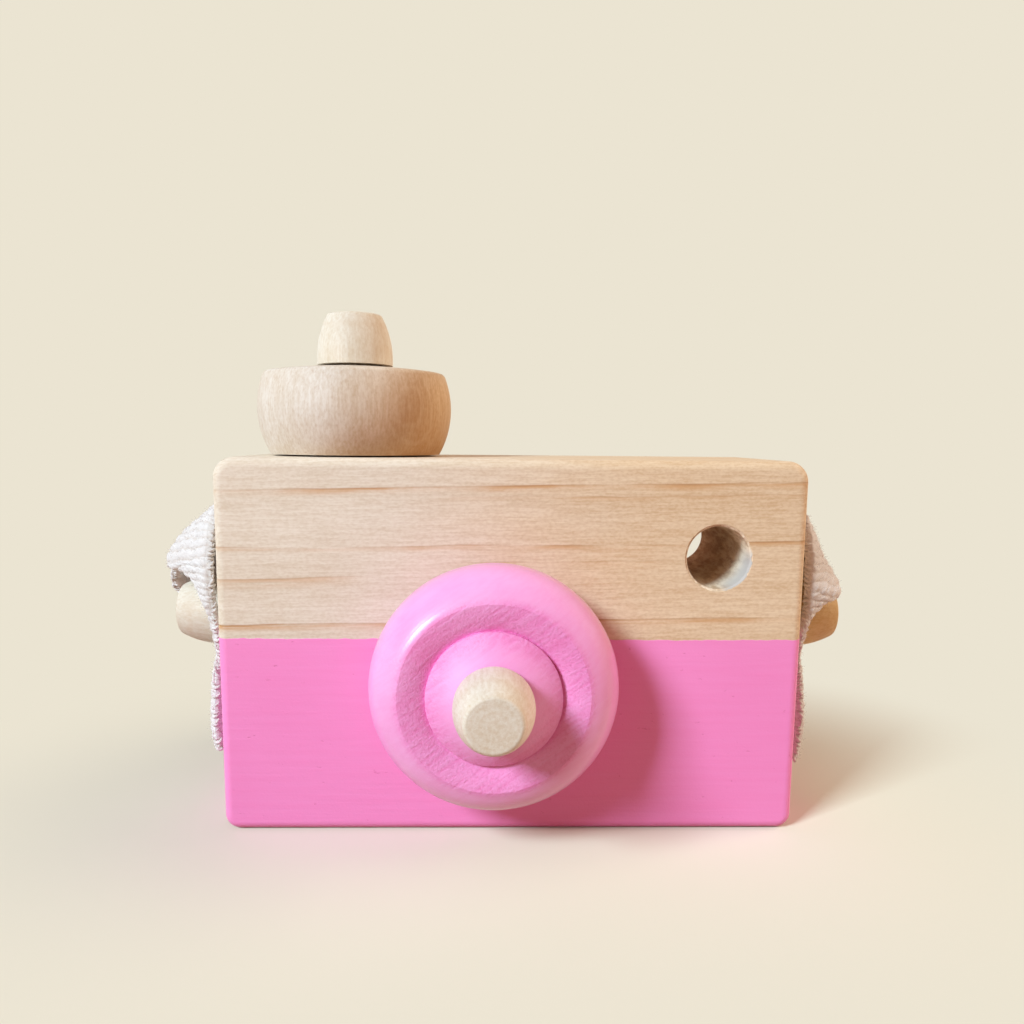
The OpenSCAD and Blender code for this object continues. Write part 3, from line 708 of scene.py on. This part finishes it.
def drawn_out(grain, scale):
    """A Mapping scale that draws a pattern out along the grain's axis."""
    return tuple(scale if axis == grain else 1 for axis in "xyz")


def wood(f, p, grain, pale, deep):
    """Colour and fibre height of plain wood with its grain along one axis."""
    clouds = f.noise(f.mapped(p, drawn_out(grain, 0.05)), 130.0, 3.0, 0.5, 0.3)
    fibre = f.noise(f.mapped(p, drawn_out(grain, 0.06)), 2000.0, 3.0, 0.65)
    speck = f.noise(f.mapped(p, drawn_out(grain, 0.5)), 2600.0, 2.0)
    tone = f.range(clouds, 0.3, 0.72) * 0.34 + f.range(fibre, 0.36, 0.64) * 0.38 + f.range(speck, 0.40, 0.64) * 0.28
    return f.mix(tone, pale, deep), fibre


def growth_line(f, p, colour, height, fade, strength, drift, start=-BLOCK_W, end=BLOCK_W):
    """A growth line at a height: a thin dark edge, and a soft band that fades below it, on a stretch of the width."""
    x = f.axis(p, "X")
    wander = (f.noise(f.mapped(p, (0.35, 0.2, 0.2), (0, 0, drift)), 60.0, 3.0) - 0.5) * (LINE_WANDER * MM)
    below = height * MM + wander - f.axis(p, "Z")
    streaky = f.noise(f.mapped(p, (0.05, 0.5, 1), (0, 0, drift * 2)), 1100.0, 3.0, 0.65)
    patchy = f.range(f.noise(f.mapped(p, (1, 0.4, 0.4), (drift, 0, 0)), 60.0, 2.0), 0.34, 0.62)
    begun = f.range(x, (start - LINE_END) * MM, (start + LINE_END) * MM)
    ends = begun * f.range(x, (end + LINE_END) * MM, (end - LINE_END) * MM)
    band = f.range(below, -0.1 * MM, 0.1 * MM) * f.range(below, fade * MM, 0.0) * f.range(streaky, 0.25, 0.65)
    edge = f.range(below, -0.16 * MM, 0.0) * f.range(below, 0.34 * MM, 0.08 * MM)
    shown = ends * (0.2 + patchy * 0.8) * strength
    colour = f.mix(band * shown, colour, GROWTH_BAND)
    return f.mix(edge * f.range(streaky, 0.2, 0.6) * shown * 0.55, colour, GROWTH_EDGE)


print("wood: formula ready")

# %% [markdown]
# ## The painted block
# The lower part was masked and painted, so the paint ends in a line that is straight but not perfect, and the brush has
# left fine lines along the grain. One mask from the height drives colour, roughness and relief together. The viewfinder
# was drilled: its wall is rough brown end grain with torn fibre at the mouth, and where the light falls in, its lower
# right side near the mouth is painted light, a pale grey.

# %% Block finish
GRAIN_TILT = math.radians(1.1)
GROWTH_LINES = (  # height, fade, strength, drift, and where the line starts and ends if it is short
    (60.6, 1.6, 0.80, 0.3), (58.6, 1.0, 0.55, 1.2, -10), (50.6, 1.2, 0.80, 2.1), (50.0, 2.2, 0.55, 3.4, -5, 30),
    (47.8, 2.0, 0.60, 4.2, -5, 30), (45.5, 2.2, 0.50, 5.3, -60, -28), (37.6, 1.6, 1.00, 6.4),
    (20.6, 1.4, 0.60, 9.1), (9.0, 1.4, 0.60, 10.3))
f = Finish("block_wood_and_paint", Specular_IOR_Level=0.4)
p = f.coords()
sawn = f.mapped(p, rotation=(0, GRAIN_TILT, 0))
pale_end, fibre = wood(f, sawn, "x", srgb(235, 225, 209), srgb(211, 193, 169))
warm_end, _ = wood(f, sawn, "x", srgb(234, 211, 180), srgb(206, 172, 133))
turning = f.axis(p, "X") + (f.noise(f.mapped(p, (0.3, 1, 1)), 70.0, 2.0) - 0.5) * (60 * MM)
colour = f.mix(f.range(turning, -30 * MM, 30 * MM), pale_end, warm_end)
for line in GROWTH_LINES:
    colour = growth_line(f, sawn, colour, *line)
print("block wood:", len(f.tree.nodes), "nodes")

# %% Viewfinder wall
FINDER, FINDER_R = (35 * MM, 0, 48.6 * MM), 5.4 * MM
MOUTH, TEAR = (FINDER_R + 0.32 * MM, FINDER_R + 0.22 * MM), 0.9 * MM
WALL_DEEP, WALL_PALE, PAINTED_LIGHT_COLOUR = srgb(208, 182, 150), srgb(251, 234, 208), srgb(190, 188, 184)
q = f.centred(FINDER, (1, 0, 1))
radius = f.length(q)
torn = f.noise(f.mapped(p, (0.5, 1, 1)), 900.0, 3.0, 0.7)
drilled = f.range(radius + (torn - 0.5) * TEAR, *MOUTH)
depth = f.axis(p, "Y") + BLOCK_D / 2 * MM
lit_side = f.axis(q, "X") * 0.83 - f.axis(q, "Z") * 0.56
# painted light: the wall's lower right side near the mouth, which the lamp shines on, is painted a pale grey that fades
# deeper in
painted_light = f.range(lit_side, 3.0 * MM, 5.2 * MM) * f.range(depth, 10 * MM, 1 * MM)
streaks = f.noise(f.mapped(p, (1, 0.25, 1), rotation=(0, 0, 0.6)), 700.0, 4.0, 0.65)
bored = f.mix(painted_light, f.mix(f.range(streaks, 0.36, 0.62), WALL_DEEP, WALL_PALE), PAINTED_LIGHT_COLOUR)
colour = f.mix(drilled, colour, bored)
print(f"viewfinder: radius {FINDER_R / MM:.1f} mm")

# %% Paint
PAINT_Z, PAINT_EDGE = 34.4 * MM, 0.06 * MM
PAINT_LIGHT, PAINT_DEEP, PAINT_PIT = srgb(250, 149, 210), srgb(247, 134, 197), srgb(200, 74, 128)
ragged = (f.noise(p, 500.0, 3.0) - 0.5) * (0.5 * MM)
uneven = (f.noise(f.mapped(p, (0.3, 0.3, 0.3)), 90.0, 1.0) - 0.5) * (0.6 * MM)
paint = f.range(f.axis(p, "Z") + (ragged + uneven), PAINT_Z + PAINT_EDGE, PAINT_Z - PAINT_EDGE)
brushed = f.noise(f.mapped(p, (0.05, 1, 1)), 1000.0, 4.0, 0.62)
cloudy = f.noise(p, 40.0, 2.0)
pink = f.mix(f.range(brushed, 0.3, 0.75) * 0.3 + f.range(cloudy, 0.3, 0.7) * 0.25, PAINT_LIGHT, PAINT_DEEP)
pits = f.range(f.noise(f.mapped(p, (0.6, 1, 1), (0.4, 0.1, 0.2)), 1100.0, 2.0), 0.70, 0.78)
pink = f.mix(pits * 0.3, pink, PAINT_PIT)
colour = f.mix(paint, colour, pink)
grit = f.noise(p, 2600.0, 2.0)
coat = brushed * 0.8 + grit * 0.35 - pits * 0.4 + 0.6
relief = fibre * 0.45 * (1 - paint) + coat * paint + torn * drilled * 3.0
rough = 0.55 - paint * 0.12 + (fibre - 0.5) * 0.12 + drilled * 0.3
dress("body_block", f.feed(Base_Color=colour, Roughness=rough, Normal=f.bump(relief, 0.07 * MM, 0.8)))
print("block finish:", len(f.tree.nodes), "nodes")

# %% [markdown]
# ## The painted wheel
# The wheel was turned from a plank, so straight grain runs through it whatever its profile does. Under the paint it
# shows as fine wrinkles on one slant, strongest where the profile cuts across the fibre. In the dish the low places of
# the wrinkles and pebbles are darkened with painted shade, and the dish is a deeper pink. The brush went round, and the
# paint itself is fine and pebbly, and lighter than the block's. The rim shines and the dish doesn't, so only the rim
# has a gloss coat, and the cove between rim and hub is the dullest.

# %% Wheel finish
LENS = (-3 * MM, -BLOCK_D / 2 * MM, 28 * MM)
GRAIN_SLANT = math.radians(36)
DISH_R, HUB_R, SOFT = 15.7 * MM, 11.1 * MM, 0.5 * MM
WHEEL_LIGHT, WHEEL_DEEP, WHEEL_CREASE_SHADE = srgb(246, 172, 226), srgb(238, 132, 196), srgb(212, 92, 150)
f = Finish("wheel_paint", Coat_Roughness=0.22, Specular_IOR_Level=0.5)
p = f.centred(LENS)
radius = f.length(f.mapped(p, (1, 0, 1)))
slanted = f.mapped(p, rotation=(0, GRAIN_SLANT, 0))
wrinkle = f.noise(f.mapped(slanted, (0.09, 0.5, 1.0)), 1500.0, 3.0, 0.5, 0.5)
in_dish = f.range(radius, 16.6 * MM, 15.0 * MM) * f.range(radius, 7.0 * MM, 11.0 * MM)
cove = f.range(radius, DISH_R + SOFT, DISH_R - SOFT) * f.range(radius, HUB_R - SOFT, HUB_R + SOFT)
rim = f.range(radius, DISH_R - SOFT, DISH_R + SOFT)
grit = f.noise(p, 2300.0, 2.0, 0.6)
cloudy = f.noise(p, 75.0, 3.0)
brush = f.noise(f.add("ShaderNodeCombineXYZ", {}, {0: radius * 1500.0, 1: cloudy * 1.2}), 1.0, 2.0)
# painted shade: in the dish the colour darkens with the low places of the wrinkles and pebbles of the relief; the dish
# is also a deeper pink
tone = f.range(cloudy, 0.32, 0.68) * 0.35 + f.range(wrinkle, 0.64, 0.34) * (0.12 + in_dish * 0.20) + in_dish * 0.25
colour = f.mix(tone, WHEEL_LIGHT, WHEEL_DEEP)
crease_shade = f.range(wrinkle, 0.45, 0.28) * in_dish
colour = f.mix(crease_shade * 0.16 + f.range(grit, 0.52, 0.3) * in_dish * 0.25, colour, WHEEL_CREASE_SHADE)
relief = wrinkle * (0.15 + in_dish * 0.6) + grit * (0.25 + in_dish * 0.6) + brush * 0.15
rough = 0.5 + (wrinkle - 0.5) * 0.2 + cove * 0.15 - rim * 0.12
dress("lens_wheel", f.feed(Base_Color=colour, Roughness=rough, Coat_Weight=rim * 0.65,
                           Normal=f.bump(relief, 0.16 * MM, 0.8)))
print("wheel finish:", len(f.tree.nodes), "nodes")

# %% [markdown]
# ## Turned pegs
# The pegs are cut from dowel: the grain runs along the peg, and a flat end shows end grain with faint rings and pores.
# One function finishes all four, each on its own centre. The right side peg is painted browner than the others: painted
# shade, as it stands on the side away from the light.

# %% Peg finishes
# the second pair of colours is a browner copy of the peg wood: painted shade for the right side peg
WHITE_PEG, SHADED_PEG = (srgb(228, 222, 209), srgb(210, 195, 172)), (srgb(230, 200, 148), srgb(210, 170, 112))
PEG_PORE = srgb(196, 160, 116)


def peg_finish(name, grain, centre, pale, deep):
    f = Finish(name, Specular_IOR_Level=0.4)
    p = f.centred(centre)
    colour, fibre = wood(f, p, grain, pale, deep)
    radius = f.length(f.mapped(p, drawn_out(grain, 0)))
    ring = f.add("ShaderNodeMath", {"operation": "SINE"}, {0: radius * 5200.0 + f.noise(p, 160.0, 3.0) * 6.0})
    pores = f.range(f.noise(p, 2600.0, 2.0), 0.60, 0.72)
    colour = f.mix(f.range(ring, 0.2, 1.0) * 0.10 + pores * 0.14, colour, PEG_PORE)
    relief = fibre * 0.6 + ring * 0.15
    return f.feed(Base_Color=colour, Roughness=0.5 + (fibre - 0.5) * 0.2, Normal=f.bump(relief, 0.05 * MM, 0.6))


for name, grain, shades in (("lens_peg", "y", WHITE_PEG), ("dial_peg", "z", WHITE_PEG),
                            ("strap_peg_left", "x", WHITE_PEG), ("strap_peg_right", "x", SHADED_PEG)):
    low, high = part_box(name)
    dress(name, peg_finish(name + "_wood", grain, (low + high) / 2, *shades))
    print("peg finish:", name)

# %% [markdown]
# ## The dial
# The disc was cut from a plank with the grain upright, so fine upright fibre covers its side. It browns towards the
# right, partly its own colour and partly painted shade, and its underside is darkened with painted shade. Where a
# growth ring is cut flat, a brown oval shows, at the right of the front.

# %% Dial finish
f = Finish("dial_wood", Specular_IOR_Level=0.35)
low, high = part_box("dial_disc")
p = f.centred((low + high) / 2)
pale_side, fibre = wood(f, p, "z", srgb(225, 218, 208), srgb(204, 187, 166))
brown_and_shaded_side, _ = wood(f, p, "z", srgb(214, 186, 150), srgb(184, 144, 100))
uneven = (f.noise(p, 90.0, 2.0) - 0.5) * (12 * MM)
# the brown towards the right is partly the wood's own colour and partly painted shade, as the right faces away from the
# light
colour = f.mix(f.range(f.axis(p, "X") - f.axis(p, "Z") + uneven, -10 * MM, 18 * MM), pale_side, brown_and_shaded_side)
# painted shade: the lower right underside, which faces down and away from the light, is darkened towards brown
underside_shade = f.range(f.axis(p, "X") * 0.7 - f.axis(p, "Z") * 1.4, 4 * MM, 20 * MM)
colour = f.mix(underside_shade * 0.6, colour, srgb(158, 108, 58))
eye = f.length(f.mapped(p, (230.0, 150.0, 150.0), (-2.55, 1.9, -0.05)))
wavy = eye + (f.noise(f.mapped(p, (1, 1, 0.4)), 220.0, 3.0) - 0.5) * 0.7
colour = f.mix(f.range(wavy, 1.5, -0.3) * 0.5, colour, srgb(160, 108, 60))
rings = f.add("ShaderNodeMath", {"operation": "SINE"}, {0: wavy * 15.0})
colour = f.mix(f.range(wavy, 1.7, 0.8) * f.range(rings, 0.3, 1.0) * 0.06, colour, srgb(240, 224, 200))
pores = f.noise(f.mapped(p, (1, 1, 0.4)), 2300.0, 2.0, 0.6)
colour = f.mix(f.range(pores, 0.55, 0.72) * 0.22, colour, srgb(176, 136, 98))
dress("dial_disc", f.feed(Base_Color=colour, Roughness=0.55 + (fibre - 0.5) * 0.2,
                          Normal=f.bump(fibre * 0.6 + pores * 0.4, 0.07 * MM, 0.7)))
print("dial finish:", len(f.tree.nodes), "nodes")

# %% [markdown]
# ## Set and light
# The toy stands on cream card. A soft window lamp from the upper left front makes the shade, and a warm reflector
# opens the right side. A third lamp adds no shade at all: it shows only in reflections, as the highlight on the wheel,
# so that the highlight can be placed by itself. Far from the toy, the card and the room show the camera one even
# cream, so no horizon is seen; near the toy the card is lit like everything else and keeps its shadow.

# %% Card and room
CREAM = srgb(235, 228, 210)
CARD_BOUNCE = (0.42, 0.26, 0.18, 1)
ROOM_TINT, ROOM_LEVEL = (1.0, 0.43, 0.28, 1), 0.28
FADE, CARD_HALF = 75 * MM, 3


def seen_directly(tree):
    """1 for what the camera sees, straight or in a reflection or through glass, and 0 for light that bounces."""
    straight, mirrored, through = (tree.add("ShaderNodeLightPath", out=f"Is {kind} Ray")
                                   for kind in ("Camera", "Glossy", "Transmission"))
    return straight.maths("MAXIMUM", straight.maths("MAXIMUM", straight, mirrored), through)


f = Finish("cream_card", Roughness=0.9, Specular_IOR_Level=0.1)
p = f.coords()
shown = seen_directly(f)
cream = f.mix(f.noise(p, 9.0, 2.0), srgb(230, 231, 215), srgb(228, 228, 210))
f.feed(Base_Color=f.mix(shown, CARD_BOUNCE, cream))
glow = f.add("ShaderNodeEmission", {}, {"Color": CREAM, "Strength": 1.0})
beside, behind = (f.axis(p, a).maths("MAXIMUM", abs(f.axis(p, a)) - half * MM, 0.0)
                  for a, half in (("X", BLOCK_W / 2), ("Y", BLOCK_D / 2)))
away = f.range((beside ** 2 + behind ** 2) ** 0.5, 0.0, FADE) * shown
card = f.add("ShaderNodeMixShader", {}, {0: away, 1: Wire(f, f.shader.outputs[0]), 2: glow})
f.tree.links.new(card.socket, f.tree.nodes["Material Output"].inputs["Surface"])
mesh = bpy.data.meshes.new("cream_card")
corners = [(x * CARD_HALF, y * CARD_HALF, 0) for x, y in ((-1, -1), (1, -1), (1, 1), (-1, 1))]
mesh.from_pydata(corners, [], [(0, 1, 2, 3)])
floor = bpy.data.objects.new("cream_card", mesh)
bpy.context.scene.collection.objects.link(floor)
mesh.materials.append(f.material)

world = bpy.data.worlds.new("soft_room")
world.use_nodes = True
bpy.context.scene.world = world
w = Tree(world.node_tree)
room = w.add("ShaderNodeBackground", {}, {"Color": ROOM_TINT, "Strength": ROOM_LEVEL})
backdrop = w.add("ShaderNodeBackground", {}, {"Color": CREAM, "Strength": 1.0})
shown = w.add("ShaderNodeMixShader", {}, {0: seen_directly(w), 1: room, 2: backdrop})
w.tree.links.new(shown.socket, w.tree.nodes["World Output"].inputs["Surface"])
print("set: card and room")


# %% Lamps
AIM = Vector((0, 0, 0.03))


def soft_lamp(name, place, size, power, colour):
    lamp = bpy.data.lights.new(name, "AREA")
    lamp.shape, lamp.size = "SQUARE", size
    lamp.energy, lamp.color = power, colour
    obj = bpy.data.objects.new(name, lamp)
    way = AIM - Vector(place)
    obj.matrix_world = Matrix.Translation(place) @ way.to_track_quat("-Z", "Y").to_matrix().to_4x4()
    bpy.context.scene.collection.objects.link(obj)
    return obj


window = soft_lamp("window", (-1.28, -1.14, 1.12), size=0.55, power=46.5, colour=(0.86, 1.04, 1.14))
reflector = soft_lamp("reflector", (0.85, 0.06, 0.36), size=0.60, power=6.6, colour=(0.96, 0.85, 0.68))
highlight = soft_lamp("highlight", (-1.14, -1.56, 0.52), size=0.5, power=27.0, colour=(1.0, 1.0, 1.0))
window.visible_glossy = reflector.visible_glossy = highlight.visible_diffuse = False
bpy.context.scene.view_settings.view_transform = "Standard"
print("lamps: a window, a reflector and one for the highlight")
